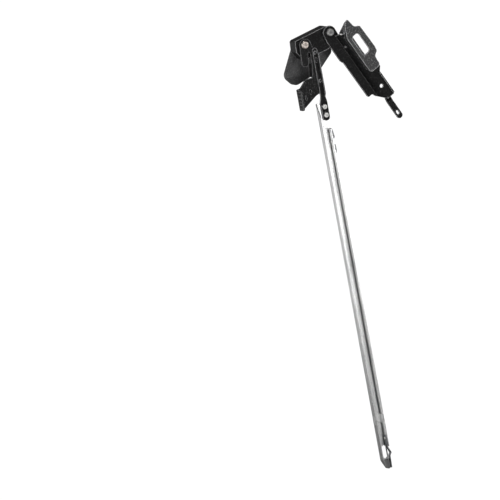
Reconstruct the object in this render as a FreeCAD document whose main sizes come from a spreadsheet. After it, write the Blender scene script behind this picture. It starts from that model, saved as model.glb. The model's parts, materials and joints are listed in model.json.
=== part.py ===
"""Friction pivot hinge: a frame bracket with a finger pull, a gooseneck link and a lift arm with a stay rail.

Three groups move against each other on two parallel riveted pivots:
    bracket group  fixed to the frame, turns on the outer pivot
    link group     the short gooseneck between the two pivots
    arm group      the wing plate, the strap and the long channel rail, on the inner pivot

Every piece is drawn in the flat frame of its own group: x across, y up along the group and z, called lift,
out of the front of the link's web. A group's Placement turns that frame upright, so lift 0 is the front of
the link's web and lift grows towards the front of the hinge (the part's -Y). The part's origin is the
centre of the bracket's fixing hole, at the back face of the base plate.
"""
import FreeCAD, Part
import math
import os
import re
import Sketcher

DIMENSIONS = {
    # how the three groups stand at rest
    "bracket_tilt": 26.0, "link_tilt": 11.3, "pivot_span": 52.2,
    # pivots
    "pivot_radius": 4.0, "pivot_head_radius": 7.1, "pivot_head_rise": 2.5,
    "pivot_tail_radius": 6.3, "pivot_tail_rise": 2.4,
    "bush_radius": 5.5, "running_clearance": 0.05, "face_clearance": 0.1,
    "friction_washer_radius": 8.5, "friction_washer_gauge": 0.9,
    "back_washer_radius": 8.0, "back_washer_gauge": 1.5,
    "disc_spring_radius": 7.4, "disc_spring_gauge": 1.2, "disc_spring_crown": 0.32,
    # ears shared by bracket and arm: both lie in front of the link's web
    "ear_back": 1.0, "ear_gauge": 3.0,
    # link
    "web_gauge": 3.0, "link_depth": 22.0, "link_wall": 2.5, "link_top": 12.0, "link_bottom": 25.0,
    "link_left": 15.0, "link_shoulder": 41.0, "lug_radius": 5.5, "lug_gauge": 2.5,
    # cover behind the link
    "cover_depth": 13.0, "cover_rounding": 5.0, "cover_gauge": 1.5,
    "cover_screw_radius": 2.0, "cover_screw_head": 3.8, "cover_screw_rise": 2.2,
    # bracket
    "sheet_gauge": 2.5, "strip_left": 15.2, "strip_fold": 6.0, "strip_step": 54.0, "strip_length": 135.0,
    "base_back": 11.5, "base_left": 10.5, "base_right": 29.0, "base_shoulder": 36.0, "base_waist": 24.0,
    "ear_radius": 11.6, "base_length": 158.0,
    "fixing_x": 16.9, "fixing_y": 131.3, "fixing_radius": 3.2, "base_bend": 7.0, "lip_height": 3.0,
    "tongue_left": 8.8, "tongue_right": 20.2, "tongue_end": 199.5, "tongue_drop": 3.0,
    "tongue_slot_width": 4.2, "tongue_slot_length": 8.0, "tongue_slot_y": 188.0, "wall_hole_radius": 1.8,
    # finger pull
    "pull_front": 24.5, "pull_gauge": 2.5, "pull_left": 11.0, "pull_end": 97.0,
    "loop_x": 25.6, "loop_width": 15.2, "loop_top": 26.0, "loop_bottom": 65.4,
    "loop_corner": 5.4,
    "pull_rivet_radius": 2.0, "pull_rivet_head": 3.6, "pull_rivet_rise": 1.4,
    # arm plate
    "arm_right": 22.0, "wing_left": 30.0, "tab_top": 72.0, "tab_bottom": 108.5, "tab_reach": 13.0,
    "flange_reach": 10.0, "flange_top": 34.0, "flange_foot": 58.0, "plate_rivet_drop": 8.0,
    "vent_width": 2.6, "vent_length": 8.0, "vent_depth": 2.0,
    # strap
    "strap_left": 10.6, "strap_right": 19.6, "strap_top": 9.0, "strap_gauge": 2.5, "pad_top": 98.0,
    "pad_end": 136.0, "pad_x": 14.7, "pad_half_width": 6.6, "strap_lip_rise": 4.5,
    "strap_lip_gauge": 1.8,
    "strap_rivet_radius": 2.5, "strap_rivet_head": 4.8, "strap_rivet_y": 111.4, "strap_rivet_pitch": 14.7,
    "strap_rivet_rise": 1.9, "flush_head_rise": 0.5, "flush_tail_rise": 0.7,
    # rail
    "rail_left": 0.5, "rail_width": 16.6, "rail_gauge": 1.5, "rail_flange": 12.5, "rail_top": 104.0,
    "rail_end": 746.0, "flange_start": 150.0, "rail_ear_right": 20.8, "rail_bend": 2.3,
    "window_x": 10.3, "window_width": 7.4, "window_top": 707.5, "window_bottom": 730.0,
    "notch_top": 650.0, "notch_length": 17.0, "notch_left_length": 21.0, "notch_floor": 8.5,
    "flange_end": 709.0,
    # catches and shoe on the rail
    "catch_gauge": 1.2, "catch_back": 6.5, "catch_width": 6.0, "catch_rise": 4.6,
    "catch_rivet_radius": 1.2, "catch_rivet_head": 2.1,
    "shoe_top": 732.0, "shoe_end": 747.5, "shoe_height": 8.0, "stop_reach": 6.5,
}

doc = FreeCAD.newDocument("StayHinge")
sheet = doc.addObject("Spreadsheet::Sheet", "Dims")
for row, (alias, size) in enumerate(DIMENSIONS.items(), 1):
    sheet.set(f"A{row}", alias)
    sheet.set(f"B{row}", str(size))
    sheet.setAlias(f"B{row}", alias)
doc.recompute()


def bound(text):
    """An expression in which every alias is looked up in the sheet."""
    return re.sub("[a-z_]+", lambda word: "Dims." + word[0] if word[0] in DIMENSIONS else word[0], text)


def size_of(text):
    """The value that an expression has now."""
    return float(sheet.evalExpression(bound(text)))


# ---- groups ----------------------------------------------------------------------------------------

OUTER_X = "-(fixing_x * cos(bracket_tilt * 1 deg) + fixing_y * sin(bracket_tilt * 1 deg))"
OUTER_Z = "fixing_y * cos(bracket_tilt * 1 deg) - fixing_x * sin(bracket_tilt * 1 deg)"
INNER_X = OUTER_X + " - pivot_span * cos(link_tilt * 1 deg)"
INNER_Z = OUTER_Z + " - pivot_span * sin(link_tilt * 1 deg)"
GROUPS = {
    "bracket": (OUTER_X, OUTER_Z, "bracket_tilt"),
    "link": (INNER_X, INNER_Z, "link_tilt"),
    "arm": (INNER_X, INNER_Z, "0"),
}
pieces = []


def new_piece(name, group):
    """A body that stands in its group's frame."""
    body = doc.addObject("PartDesign::Body", name)
    body.Label = name
    across, up, tilt = GROUPS[group]
    upright = FreeCAD.Rotation(FreeCAD.Vector(1, 0, 0), 90)
    leaning = FreeCAD.Rotation(FreeCAD.Vector(0, 1, 0), -size_of(tilt))
    body.Placement = FreeCAD.Placement(FreeCAD.Vector(0, 0, 0), leaning.multiply(upright))
    body.setExpression("Placement.Base.x", bound(across))
    body.setExpression("Placement.Base.y", bound("base_back"))
    body.setExpression("Placement.Base.z", bound(up))
    pieces.append(body)
    return body


# ---- sketches ------------------------------------------------------------------------------------------

def new_sketch(body, plane="XY_Plane", offset="0"):
    """An empty sketch on one of the body's own origin planes, moved along the plane's normal."""
    sketch = body.newObject("Sketcher::SketchObject", body.Name + "_sketch")
    support = next(item for item in body.Origin.OriginFeatures if item.Role == plane)
    sketch.AttachmentSupport = [(support, "")]
    sketch.MapMode = "FlatFace"
    sketch.setExpression("AttachmentOffset.Base.z", bound(offset))
    return sketch


def pin_point(sketch, geometry, position, x, y):
    """Hold one point at (x, y) from the sketch's origin."""
    for kind, text in (("DistanceX", x), ("DistanceY", y)):
        index = sketch.addConstraint(Sketcher.Constraint(kind, -1, 1, geometry, position, size_of(text)))
        sketch.setExpression(f"Constraints[{index}]", bound(text))


def pin_radius(sketch, geometry, radius):
    """Hold the radius of an arc or a circle."""
    index = sketch.addConstraint(Sketcher.Constraint("Radius", geometry, size_of(radius)))
    sketch.setExpression(f"Constraints[{index}]", bound(radius))


def add_circle(sketch, x, y, radius):
    """A circle held by its centre and radius."""
    centre = FreeCAD.Vector(size_of(x), size_of(y), 0)
    circle = sketch.addGeometry(Part.Circle(centre, FreeCAD.Vector(0, 0, 1), size_of(radius)))
    pin_point(sketch, circle, 3, x, y)
    pin_radius(sketch, circle, radius)


def add_outline(sketch, corners):
    """A closed outline through corners (x, y) or, where the corner is rounded, (x, y, radius)."""
    points = [FreeCAD.Vector(size_of(corner[0]), size_of(corner[1]), 0) for corner in corners]
    radii = [size_of(corner[2]) if len(corner) > 2 else 0.0 for corner in corners]
    count = len(points)
    entry, leave, centre = [], [], []
    for i, point in enumerate(points):
        back = (points[i - 1] - point).normalize()
        ahead = (points[(i + 1) % count] - point).normalize()
        half_angle = back.getAngle(ahead) / 2
        run = radii[i] / math.tan(half_angle)
        entry.append(point + back * run)
        leave.append(point + ahead * run)
        centre.append(point + (back + ahead).normalize() * (radii[i] / math.sin(half_angle)))
    lines = [sketch.addGeometry(Part.LineSegment(leave[i], entry[(i + 1) % count])) for i in range(count)]
    for i, corner in enumerate(corners):
        before, after = lines[i - 1], lines[i]
        if not radii[i]:
            sketch.addConstraint(Sketcher.Constraint("Coincident", before, 2, after, 1))
            pin_point(sketch, after, 1, corner[0], corner[1])
            continue
        turns_left = (points[i] - points[i - 1]).cross(points[(i + 1) % count] - points[i]).z > 0
        ends = (entry[i], leave[i]) if turns_left else (leave[i], entry[i])
        angles = [math.atan2(end.y - centre[i].y, end.x - centre[i].x) for end in ends]
        circle = Part.Circle(centre[i], FreeCAD.Vector(0, 0, 1), radii[i])
        arc = sketch.addGeometry(Part.ArcOfCircle(circle, angles[0], angles[1]))
        first, last = (1, 2) if turns_left else (2, 1)
        sketch.addConstraint(Sketcher.Constraint("Tangent", before, 2, arc, first))
        sketch.addConstraint(Sketcher.Constraint("Tangent", arc, last, after, 1))
        pin_radius(sketch, arc, corner[2])
        apex = sketch.addGeometry(Part.Point(points[i]), True)
        sketch.addConstraint(Sketcher.Constraint("PointOnObject", apex, 1, before))
        sketch.addConstraint(Sketcher.Constraint("PointOnObject", apex, 1, after))
        pin_point(sketch, apex, 1, corner[0], corner[1])


def add_slot(sketch, x, y, width, length):
    """An upright slot with round ends, about its centre."""
    half_w, half_l = f"({width}) / 2", f"({length}) / 2"
    round_end = f"({width}) * 0.49"
    add_outline(sketch, [(f"({x}) {sx} {half_w}", f"({y}) {sy} {half_l}", round_end)
                         for sx, sy in (("-", "-"), ("+", "-"), ("+", "+"), ("-", "+"))])


# ---- features ------------------------------------------------------------------------------------------

def pad(body, sketch, length):
    """Grow the body by the sketch, along the sketch's normal."""
    feature = body.newObject("PartDesign::Pad", body.Name + "_pad")
    feature.Profile = sketch
    feature.setExpression("Length", bound(length))
    doc.recompute()
    return feature


def plate(body, corners, back, gauge):
    """A flat plate with the given outline, its back face at the given lift."""
    sketch = new_sketch(body, offset=back)
    add_outline(sketch, corners)
    return pad(body, sketch, gauge)


def section(body, corners, plane, start, length):
    """A bar with the given cross-section, run along the plane's normal from start."""
    sketch = new_sketch(body, plane, start)
    add_outline(sketch, corners)
    return pad(body, sketch, length)


def cut(body, sketch, depth=None, backwards=False):
    """Pocket through everything both ways, or to a depth on one side of the sketch."""
    before = body.Shape.Volume
    feature = body.newObject("PartDesign::Pocket", body.Name + "_pocket")
    feature.Profile = sketch
    if depth is None:
        feature.Type = "ThroughAll"
        feature.Midplane = True
    else:
        feature.setExpression("Length", bound(depth))
        feature.Reversed = backwards
    doc.recompute()
    if not body.Shape.Volume < before - 0.01:
        raise RuntimeError(f"a pocket in {body.Name} cut nothing")
    return feature


def drill(body, holes, plane="XY_Plane", offset="0", depth=None, backwards=False):
    """Round holes (x, y, radius) through the body, or blind to a depth."""
    sketch = new_sketch(body, plane, offset)
    for x, y, radius in holes:
        add_circle(sketch, x, y, radius)
    return cut(body, sketch, depth, backwards)


def trim(body, corners, reach="900"):
    """Cut away everything outside the outline, as a blanking die does."""
    sketch = new_sketch(body)
    far = f"-{reach}"
    add_outline(sketch, [(far, far), (reach, far), (reach, reach), (far, reach)])
    add_outline(sketch, corners)
    return cut(body, sketch)


def local(body, point):
    """A point in the body's own frame."""
    return body.Placement.inverse().multVec(point)


def round_rim(body, lift, radius):
    """Round every edge that lies wholly at one lift."""
    rim = [f"Edge{i + 1}" for i, edge in enumerate(body.Shape.Edges)
           if all(abs(local(body, vertex.Point).z - size_of(lift)) < 0.01 for vertex in edge.Vertexes)]
    base = body.Tip
    feature = body.newObject("PartDesign::Fillet", body.Name + "_rounding")
    feature.Base = (base, rim)
    feature.setExpression("Radius", bound(radius))
    doc.recompute()
    return feature


def turned(body, corners):
    """A turned piece about the local z axis, from half of its section (radius, lift)."""
    sketch = new_sketch(body, "XZ_Plane")
    add_outline(sketch, corners)
    feature = body.newObject("PartDesign::Revolution", body.Name + "_turned")
    feature.Profile = sketch
    feature.ReferenceAxis = (sketch, ["V_Axis"])
    feature.Angle = 360
    doc.recompute()
    return feature


def ring(name, group, x, outer, inner, back, gauge):
    """A flat washer or a bush about a pivot."""
    body = new_piece(name, group)
    sketch = new_sketch(body, offset=back)
    add_circle(sketch, x, "0", outer)
    add_circle(sketch, x, "0", inner)
    pad(body, sketch, gauge)
    return body


# ---- link group ----------------------------------------------------------------------------------------

WEB_BACK = "-web_gauge"
LINK_OUTLINE = [("-link_left + 2", "link_top", "5"), ("pivot_span - 3", "link_top", "6"),
                ("pivot_span + 9", "6", "5"), ("pivot_span + 8", "-12", "7"),
                ("link_shoulder", "-link_bottom - 1", "4"),
                ("-link_left + 5", "-link_bottom", "7"), ("-link_left - 3", "-7", "7")]
LUGS = (("6", "-link_bottom + link_wall + 4"), ("36", "-link_bottom + link_wall + 4"))


def link_channel():
    """Pressed gooseneck: a flat web and a wall folded back round it, open at the back and the outer end."""
    body = new_piece("link_channel", "link")
    plate(body, LINK_OUTLINE, "-link_depth", "link_depth")
    hollow = new_sketch(body, offset=WEB_BACK)
    wall = "link_wall"
    add_outline(hollow, [(f"-link_left + 2 + {wall}", f"link_top - {wall}", "3"),
                         ("pivot_span + 20", f"link_top - {wall}"), ("pivot_span + 20", "-8"),
                         ("pivot_span - 6", "-10", "4"),
                         ("link_shoulder - 1", f"-link_bottom + {wall} - 1", "2"),
                         (f"-link_left + 6 + {wall}", f"-link_bottom + {wall}", "4"),
                         (f"-link_left - 3 + {wall}", "-7", "5")])
    cut(body, hollow, "link_depth")
    lugs = new_sketch(body, offset="-link_depth")
    for x, y in LUGS:
        left, right = f"{x} - lug_radius", f"{x} + lug_radius"
        top, root = f"{y} + lug_radius", "-link_bottom + 1"
        add_outline(lugs, [(left, top, "4"), (right, top, "4"), (right, root), (left, root)])
    pad(body, lugs, "lug_gauge")
    drill(body, [("0", "0", "pivot_radius"), ("pivot_span", "0", "pivot_radius")])
    drill(body, [(x, y, "cover_screw_radius") for x, y in LUGS], offset="-link_depth - 1",
          depth="lug_gauge + 2", backwards=True)


def link_cover():
    """Rounded sheet cover behind the link, hollow at the back."""
    body = new_piece("link_cover", "link")
    outline = [("-4", "2", "6"), ("52", "2", "8"), ("56", "-40", "9"), ("18", "-62", "14"),
               ("-31", "-66", "12"), ("-43", "-44", "12")]
    plate(body, outline, "-link_depth - cover_depth", "cover_depth")
    rounding = round_rim(body, "-link_depth", "cover_rounding")
    hollow = body.newObject("PartDesign::Thickness", "link_cover_hollow")
    back = min(range(len(body.Shape.Faces)),
               key=lambda i: local(body, body.Shape.Faces[i].CenterOfMass).z)
    hollow.Base = (rounding, [f"Face{back + 1}"])
    hollow.setExpression("Value", bound("cover_gauge"))
    hollow.Mode = 0
    hollow.Join = 0
    hollow.Reversed = True
    doc.recompute()
    drill(body, [(x, y, "cover_screw_radius") for x, y in LUGS])


def cover_screws():
    """Two pan head screws that hold the cover to the link's lugs."""
    body = new_piece("cover_screws", "link")
    seat = "-link_depth - cover_gauge"
    shanks = new_sketch(body, offset=seat)
    for x, y in LUGS:
        add_circle(shanks, x, y, "cover_screw_radius")
    pad(body, shanks, "cover_gauge + lug_gauge + 3")
    heads = new_sketch(body, offset=f"{seat} - cover_screw_rise")
    for x, y in LUGS:
        add_circle(heads, x, y, "cover_screw_head")
    pad(body, heads, "cover_screw_rise")


def pivot_stack(name, x):
    """One riveted friction pivot: rivet, friction washer in front of the web, washer and spring behind."""
    ear_front = "ear_back + ear_gauge"
    ring(f"{name}_friction_washer", "link", x, "friction_washer_radius", "pivot_radius + 0.2", "0",
         "friction_washer_gauge")
    ring(f"{name}_back_washer", "link", x, "back_washer_radius", "pivot_radius + 0.2",
         "-web_gauge - back_washer_gauge", "back_washer_gauge")
    spring_back = "-web_gauge - back_washer_gauge - disc_spring_gauge"
    spring = new_piece(f"{name}_disc_spring", "link")
    bore = "pivot_radius + 0.3"
    turned(spring, [(bore, spring_back), ("disc_spring_radius", f"{spring_back} + disc_spring_crown"),
                    ("disc_spring_radius", f"{spring_back} + disc_spring_gauge"),
                    (bore, f"{spring_back} + disc_spring_gauge - disc_spring_crown")])
    rivet = new_piece(f"{name}_pivot_rivet", "link")
    tail = f"{spring_back} - pivot_tail_rise"
    seat = f"{ear_front} + face_clearance"
    crown = f"{seat} + pivot_head_rise"
    turned(rivet, [("0", tail), ("pivot_tail_radius", tail, "1.6"),
                   ("pivot_tail_radius", spring_back), ("pivot_radius", spring_back),
                   ("pivot_radius", seat), ("pivot_head_radius", seat),
                   ("pivot_head_radius", crown, "1.9"), ("0", crown)])
    for piece in (spring, rivet):
        shift_along_link(piece, x)


def shift_along_link(body, x):
    """Move a turned piece from the inner pivot along the link."""
    body.setExpression("Placement.Base.x", bound(f"{INNER_X} + ({x}) * cos(link_tilt * 1 deg)"))
    body.setExpression("Placement.Base.z", bound(f"{INNER_Z} + ({x}) * sin(link_tilt * 1 deg)"))
    doc.recompute()


link_channel()
link_cover()
cover_screws()
pivot_stack("inner", "0")
pivot_stack("outer", "pivot_span")


# ---- bracket group -------------------------------------------------------------------------------------

def frame_bracket():
    """Folded bracket: pivot ear and strip, a wall folded forward and a base plate with a slotted tongue."""
    body = new_piece("frame_bracket", "bracket")
    ear_front = "ear_back + ear_gauge"
    base_front = "base_back + sheet_gauge"
    section(body, [("-strip_left - 1", "ear_back"), ("strip_fold", "ear_back", "3"),
                   ("base_left", "base_back", "base_bend"), ("base_shoulder + 2", "base_back"),
                   ("base_shoulder + 2", base_front), ("base_left - 2", base_front, "base_bend + sheet_gauge"),
                   ("strip_fold - 2.2", ear_front, "1"), ("-strip_left - 1", ear_front)],
            "XZ_Plane", "ear_radius", "base_length - ear_radius")
    plate(body, [("-strip_left - 1", "ear_radius + 1"), ("ear_radius + 1", "ear_radius + 1"),
                 ("ear_radius + 1", "-ear_radius - 0.5"), ("strip_fold - 3", "-ear_radius - 3"),
                 ("-strip_left - 1", "-ear_radius - 3")], "ear_back", "ear_gauge")
    crown = "ear_radius - 0.2"
    trim(body, [("-ear_radius", "ear_radius", crown), ("ear_radius", "ear_radius", crown),
                ("ear_radius - 2", "-14", "2"), ("base_waist", "-18", "3"), ("base_waist", "-76", "3"),
                ("base_shoulder", "-80", "3"), ("base_shoulder", "-102", "4"),
                ("base_right", "-110", "4"), ("base_right", "-base_length + 1", "3"),
                ("tongue_left + 4", "-base_length + 2", "3"), ("tongue_left - 4", "-146", "5"),
                ("1", "-142", "6"), ("-2", "-strip_length", "3"), ("-11.4", "-strip_length", "3"),
                ("-12.2", "-strip_step - 5", "4"), ("-strip_left", "-strip_step + 2", "4"),
                ("-strip_left", "-10", "8")])
    lip_left, lip_foot = "base_right - sheet_gauge", "-base_length + 4"
    plate(body, [(lip_left, "-110"), ("base_right", "-110"), ("base_right", lip_foot), (lip_left, lip_foot)],
          "base_back", "sheet_gauge + lip_height")
    joggle_top, joggle_foot = "-base_length + 5", "-base_length - 5"
    tongue_back = "base_back - tongue_drop"
    tongue_front = f"{tongue_back} + sheet_gauge"
    section(body, [(joggle_top, "base_back"), (joggle_foot, tongue_back), ("-tongue_end", tongue_back),
                   ("-tongue_end", tongue_front), (joggle_foot, tongue_front), (joggle_top, base_front)],
            "YZ_Plane", "tongue_left", "tongue_right - tongue_left")
    trim(body, [("-60", "60"), ("60", "60"), ("60", "-base_length - 1"), ("tongue_right", "-base_length - 1"),
                ("tongue_right", "-tongue_end", "5.4"), ("tongue_left", "-tongue_end", "5.4"),
                ("tongue_left", "-base_length - 1"), ("-60", "-base_length - 1")])
    drill(body, [("0", "0", "bush_radius"), ("fixing_x", "-fixing_y", "fixing_radius")] + PULL_RIVETS)
    slot = new_sketch(body)
    add_slot(slot, "(tongue_left + tongue_right) / 2", "-tongue_slot_y", "tongue_slot_width",
             "tongue_slot_length")
    cut(body, slot)
    drill(body, [("-37", "8", "wall_hole_radius")], "YZ_Plane", "2", depth="12", backwards=True)


PULL_RIVETS = [("19", y, "pull_rivet_radius") for y in ("-24", "-52", "-84")]


def finger_pull():
    """Folded pull: a foot on the base plate, a wall that curls at the top, a front flange with the loop."""
    body = new_piece("finger_pull", "bracket")
    foot_back = "base_back + sheet_gauge"
    flange_back = "pull_front - pull_gauge"
    outer, inner = "pull_left", "pull_left + pull_gauge"
    wall_foot = "-pull_end + 6"
    plate(body, [("31.5", "3.5", "0.8"), ("34", "-14", "9"), ("43.5", "-19", "5"), ("44.5", "-66", "3"),
                 ("43", "-74", "3"), ("34.5", "-79", "5"), ("33.5", "-pull_end", "5"),
                 (outer, "-pull_end", "7"), (outer, "-22", "14"), ("19.4", "-4", "10"), ("25", "3", "3")],
          flange_back, "pull_gauge")
    curl = [("19.4", "-4", "10"), ("25", "3", "0.8"), ("27.2", "1.6", "0.8"), ("19.4 + pull_gauge", "-5", "8")]
    plate(body, [(outer, wall_foot), (outer, "-22", "14"), *curl,
                 (inner, "-22.5", "11.6"), (inner, wall_foot)],
          foot_back, f"{flange_back} - ({foot_back}) + 0.2")
    plate(body, [(f"{outer} + 0.4", "-13"), *curl, (f"{inner} + 0.4", "-13")],
          "ear_back + ear_gauge", f"{flange_back} - ear_back - ear_gauge")
    plate(body, [(outer, "-19", "1"), ("base_waist", "-19", "3"), ("base_waist", wall_foot, "3"),
                 (outer, wall_foot, "1")], foot_back, "pull_gauge")
    slope = new_sketch(body, "YZ_Plane")
    add_outline(slope, [("-15", "0"), ("4", "pull_front - 2"), ("8", "pull_front - 2"), ("8", "0")])
    cut(body, slope)
    loop = new_sketch(body, offset=flange_back)
    left, right = "loop_x - loop_width / 2", "loop_x + loop_width / 2"
    add_outline(loop, [(left, "-loop_bottom", "loop_corner"), (right, "-loop_bottom", "loop_corner"),
                       (right, "-loop_top", "loop_corner"), (left, "-loop_top", "loop_corner")])
    cut(body, loop, "pull_gauge", backwards=True)
    drill(body, PULL_RIVETS, offset=foot_back, depth="pull_gauge", backwards=True)


def pull_rivets():
    """Three round head rivets through the pull's foot, set flush in the back of the base plate."""
    body = new_piece("pull_rivets", "bracket")
    layers = (("base_back", "sheet_gauge + pull_gauge", "pull_rivet_radius"),
              ("base_back + sheet_gauge + pull_gauge", "pull_rivet_rise", "pull_rivet_head"))
    for back, gauge, radius in layers:
        sketch = new_sketch(body, offset=back)
        for x, y, _ in PULL_RIVETS:
            add_circle(sketch, x, y, radius)
        pad(body, sketch, gauge)


frame_bracket()
finger_pull()
pull_rivets()
ring("outer_bush", "bracket", "0", "bush_radius", "pivot_radius + running_clearance", "ear_back", "ear_gauge")


# ---- arm group -----------------------------------------------------------------------------------------

STRAP_X = "(strap_left + strap_right) / 2"
PLATE_RIVETS = [(STRAP_X, "-strap_top - plate_rivet_drop"), (STRAP_X, "-flange_foot - plate_rivet_drop")]
RAIL_RIVETS = [("pad_x", "-strap_rivet_y"), ("pad_x", "-strap_rivet_y - strap_rivet_pitch")]
WING_VENTS = (("-5.2", "-81.2"), ("-15.4", "-89.6"))
LEG_VENT = ("14.6", "-30")


def arm_plate():
    """Pivot ear with a short finger, a leg with a return flange, and a wing that ends in a forward tab."""
    body = new_piece("arm_plate", "arm")
    plate(body, [("-9.5", "9.5", "9"), ("9.5", "9.5", "9"), ("13", "-7", "6"), ("arm_right", "-14", "6"),
                 ("arm_right", "-84", "5"), ("4", "-90", "8"), ("-20", "-106", "6"),
                 ("-wing_left", "-tab_bottom"), ("-wing_left", "-tab_top"), ("-23", "-71", "3"),
                 ("-11", "-flange_foot - 1", "4"), ("3.6", "-flange_foot", "2"), ("7", "-flange_top", "6"),
                 ("7.2", "-16", "2.4"), ("2.8", "-12", "2"),
                 ("0.8", "-37", "5.6"), ("-12", "-37", "5.6")], "ear_back", "ear_gauge")
    plate(body, [("7.1", "-flange_top"), ("9.6", "-flange_top"), ("6.2", "-flange_foot"),
                 ("3.7", "-flange_foot")], "ear_back - flange_reach", "flange_reach + ear_gauge")
    section(body, [("-tab_top", "ear_back"), ("-tab_bottom", "ear_back"),
                   ("-tab_bottom", "ear_back + ear_gauge + tab_reach", "5"),
                   ("-tab_top", "ear_back + ear_gauge + tab_reach", "5")],
            "YZ_Plane", "-wing_left", "sheet_gauge")
    vents = new_sketch(body, offset="ear_back + ear_gauge")
    for x, y in WING_VENTS + (LEG_VENT,):
        add_slot(vents, x, y, "vent_width", "vent_length")
    cut(body, vents, "vent_depth")
    drill(body, [("0", "0", "bush_radius")] + [(x, y, "strap_rivet_radius") for x, y in PLATE_RIVETS])


def lift_strap():
    """Flat strap with a lip on its outer edge and a round pad that carries the rail."""
    body = new_piece("lift_strap", "arm")
    back = "ear_back + ear_gauge"
    plate(body, [("strap_left", "-strap_top", "4"), ("strap_right", "-strap_top", "4"),
                 ("strap_right", "-pad_top + 4", "6"), ("pad_x + pad_half_width", "-pad_top - 4", "6"),
                 ("pad_x + pad_half_width", "-pad_end", "6.4"), ("pad_x - pad_half_width", "-pad_end", "6.4"),
                 ("pad_x - pad_half_width", "-pad_top - 4", "6"), ("strap_left", "-pad_top + 4", "6")],
          back, "strap_gauge")
    lip_back = f"{back} + strap_gauge"
    section(body, [("-strap_top - 4", back), ("-pad_top + 1", back), ("-pad_top + 3", lip_back),
                   ("-pad_top + 10", f"{lip_back} + strap_lip_rise", "3"),
                   ("-strap_top - 10", f"{lip_back} + strap_lip_rise", "3")],
            "YZ_Plane", "strap_right - strap_lip_gauge", "strap_lip_gauge")
    drill(body, [(x, y, "strap_rivet_radius") for x, y in PLATE_RIVETS + RAIL_RIVETS])
    vent = new_sketch(body)
    add_slot(vent, *LEG_VENT, "vent_width", "vent_length")
    cut(body, vent)


def flush_rivets():
    """Two rivets, flush in front, that join the strap to the arm plate."""
    body = new_piece("strap_plate_rivets", "arm")
    front = "ear_back + ear_gauge + strap_gauge"
    for back, gauge, radius in (("ear_back - flush_tail_rise", "flush_tail_rise", "strap_rivet_radius + 1"),
                                ("ear_back", "ear_gauge + strap_gauge", "strap_rivet_radius"),
                                (front, "flush_head_rise", "strap_rivet_radius + 0.15")):
        sketch = new_sketch(body, offset=back)
        for x, y in PLATE_RIVETS:
            add_circle(sketch, x, y, radius)
        pad(body, sketch, gauge)


def strap_rail_rivets():
    """Two bright round head rivets that join the strap's pad to the rail, flush in the rail's back."""
    body = new_piece("strap_rail_rivets", "arm")
    rail_back = "ear_back + ear_gauge - rail_gauge"
    front = "ear_back + ear_gauge + strap_gauge"
    for back, gauge, radius in ((rail_back, "rail_gauge + strap_gauge", "strap_rivet_radius"),
                                (front, "strap_rivet_rise", "strap_rivet_head")):
        sketch = new_sketch(body, offset=back)
        for x, y in RAIL_RIVETS:
            add_circle(sketch, x, y, radius)
        pad(body, sketch, gauge)
    round_rim(body, f"{front} + strap_rivet_rise", "strap_rivet_rise * 0.75")


def rail():
    """Channel rail with forward flanges, a flat ear for the strap, flange notches and a window at the foot."""
    body = new_piece("rail", "arm")
    left, right = "-rail_left", "rail_width - rail_left"
    web_front = "ear_back + ear_gauge"
    web_back = f"{web_front} - rail_gauge"
    flange_tip = f"{web_back} + rail_flange"
    section(body, [(left, flange_tip), (f"{left} + rail_gauge", flange_tip),
                   (f"{left} + rail_gauge", web_front, "rail_bend - rail_gauge"),
                   (f"{right} - rail_gauge", web_front, "rail_bend - rail_gauge"),
                   (f"{right} - rail_gauge", flange_tip), (right, flange_tip), (right, web_back, "rail_bend"),
                   (left, web_back, "rail_bend")], "XZ_Plane", "rail_top", "rail_end - rail_top")
    no_flange = new_sketch(body, offset=web_back)
    add_outline(no_flange, [(f"{right} - rail_bend", "-rail_top + 1"), (f"{right} + 1", "-rail_top + 1"),
                            (f"{right} + 1", "-flange_start"), (f"{right} - rail_bend", "-flange_start")])
    cut(body, no_flange, "rail_flange + 1", backwards=True)
    plate(body, [(f"{right} - rail_bend - 3", "-rail_top"), ("rail_ear_right", "-rail_top", "6"),
                 ("rail_ear_right", "-pad_end + 0.5", "6"), (f"{right} - rail_bend - 3", "-pad_end - 6")],
          web_back, "rail_gauge")
    foot = new_sketch(body)
    add_outline(foot, [(f"{left} - 1", "-rail_end + 18"), (f"{left} - 1", "-rail_end - 1"),
                       (f"{left} + 8", "-rail_end - 1")])
    cut(body, foot)
    open_end = new_sketch(body, offset=web_front)
    inside = f"{right} - rail_gauge - 0.6"
    add_outline(open_end, [(inside, "-flange_end"), (f"{right} + 1", "-flange_end"),
                           (f"{right} + 1", "-rail_end - 1"), (inside, "-rail_end - 1")])
    cut(body, open_end, "rail_flange", backwards=True)
    window = new_sketch(body)
    add_slot(window, "window_x", "-(window_top + window_bottom) / 2", "window_width",
             "window_bottom - window_top")
    cut(body, window)
    drill(body, [(x, y, "strap_rivet_radius") for x, y in RAIL_RIVETS])
    notches = new_sketch(body, offset="notch_floor")
    add_outline(notches, [(f"{left} - 1", "-notch_top - 2"), (f"{left} + rail_gauge + 1", "-notch_top - 2"),
                          (f"{left} + rail_gauge + 1", "-notch_top - notch_left_length"),
                          (f"{left} - 1", "-notch_top - notch_left_length")])
    add_outline(notches, [(f"{right} - rail_gauge - 1", "-notch_top"), (f"{right} + 1", "-notch_top"),
                          (f"{right} + 1", "-notch_top - notch_length"),
                          (f"{right} - rail_gauge - 1", "-notch_top - notch_length")])
    cut(body, notches, "rail_flange", backwards=True)
    lead_in = new_sketch(body, "YZ_Plane")
    add_outline(lead_in, [("-rail_top + 1", web_front), ("-rail_top + 1", f"{flange_tip} + 1"),
                          ("-rail_top - 26", f"{flange_tip} + 1")])
    cut(body, lead_in)
    for y in CATCH_RIVETS:
        drill(body, [(y, "catch_back + catch_width / 2", "catch_rivet_radius")], "YZ_Plane",
              f"{right} - rail_gauge - 1", depth="rail_gauge + 2", backwards=True)


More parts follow.
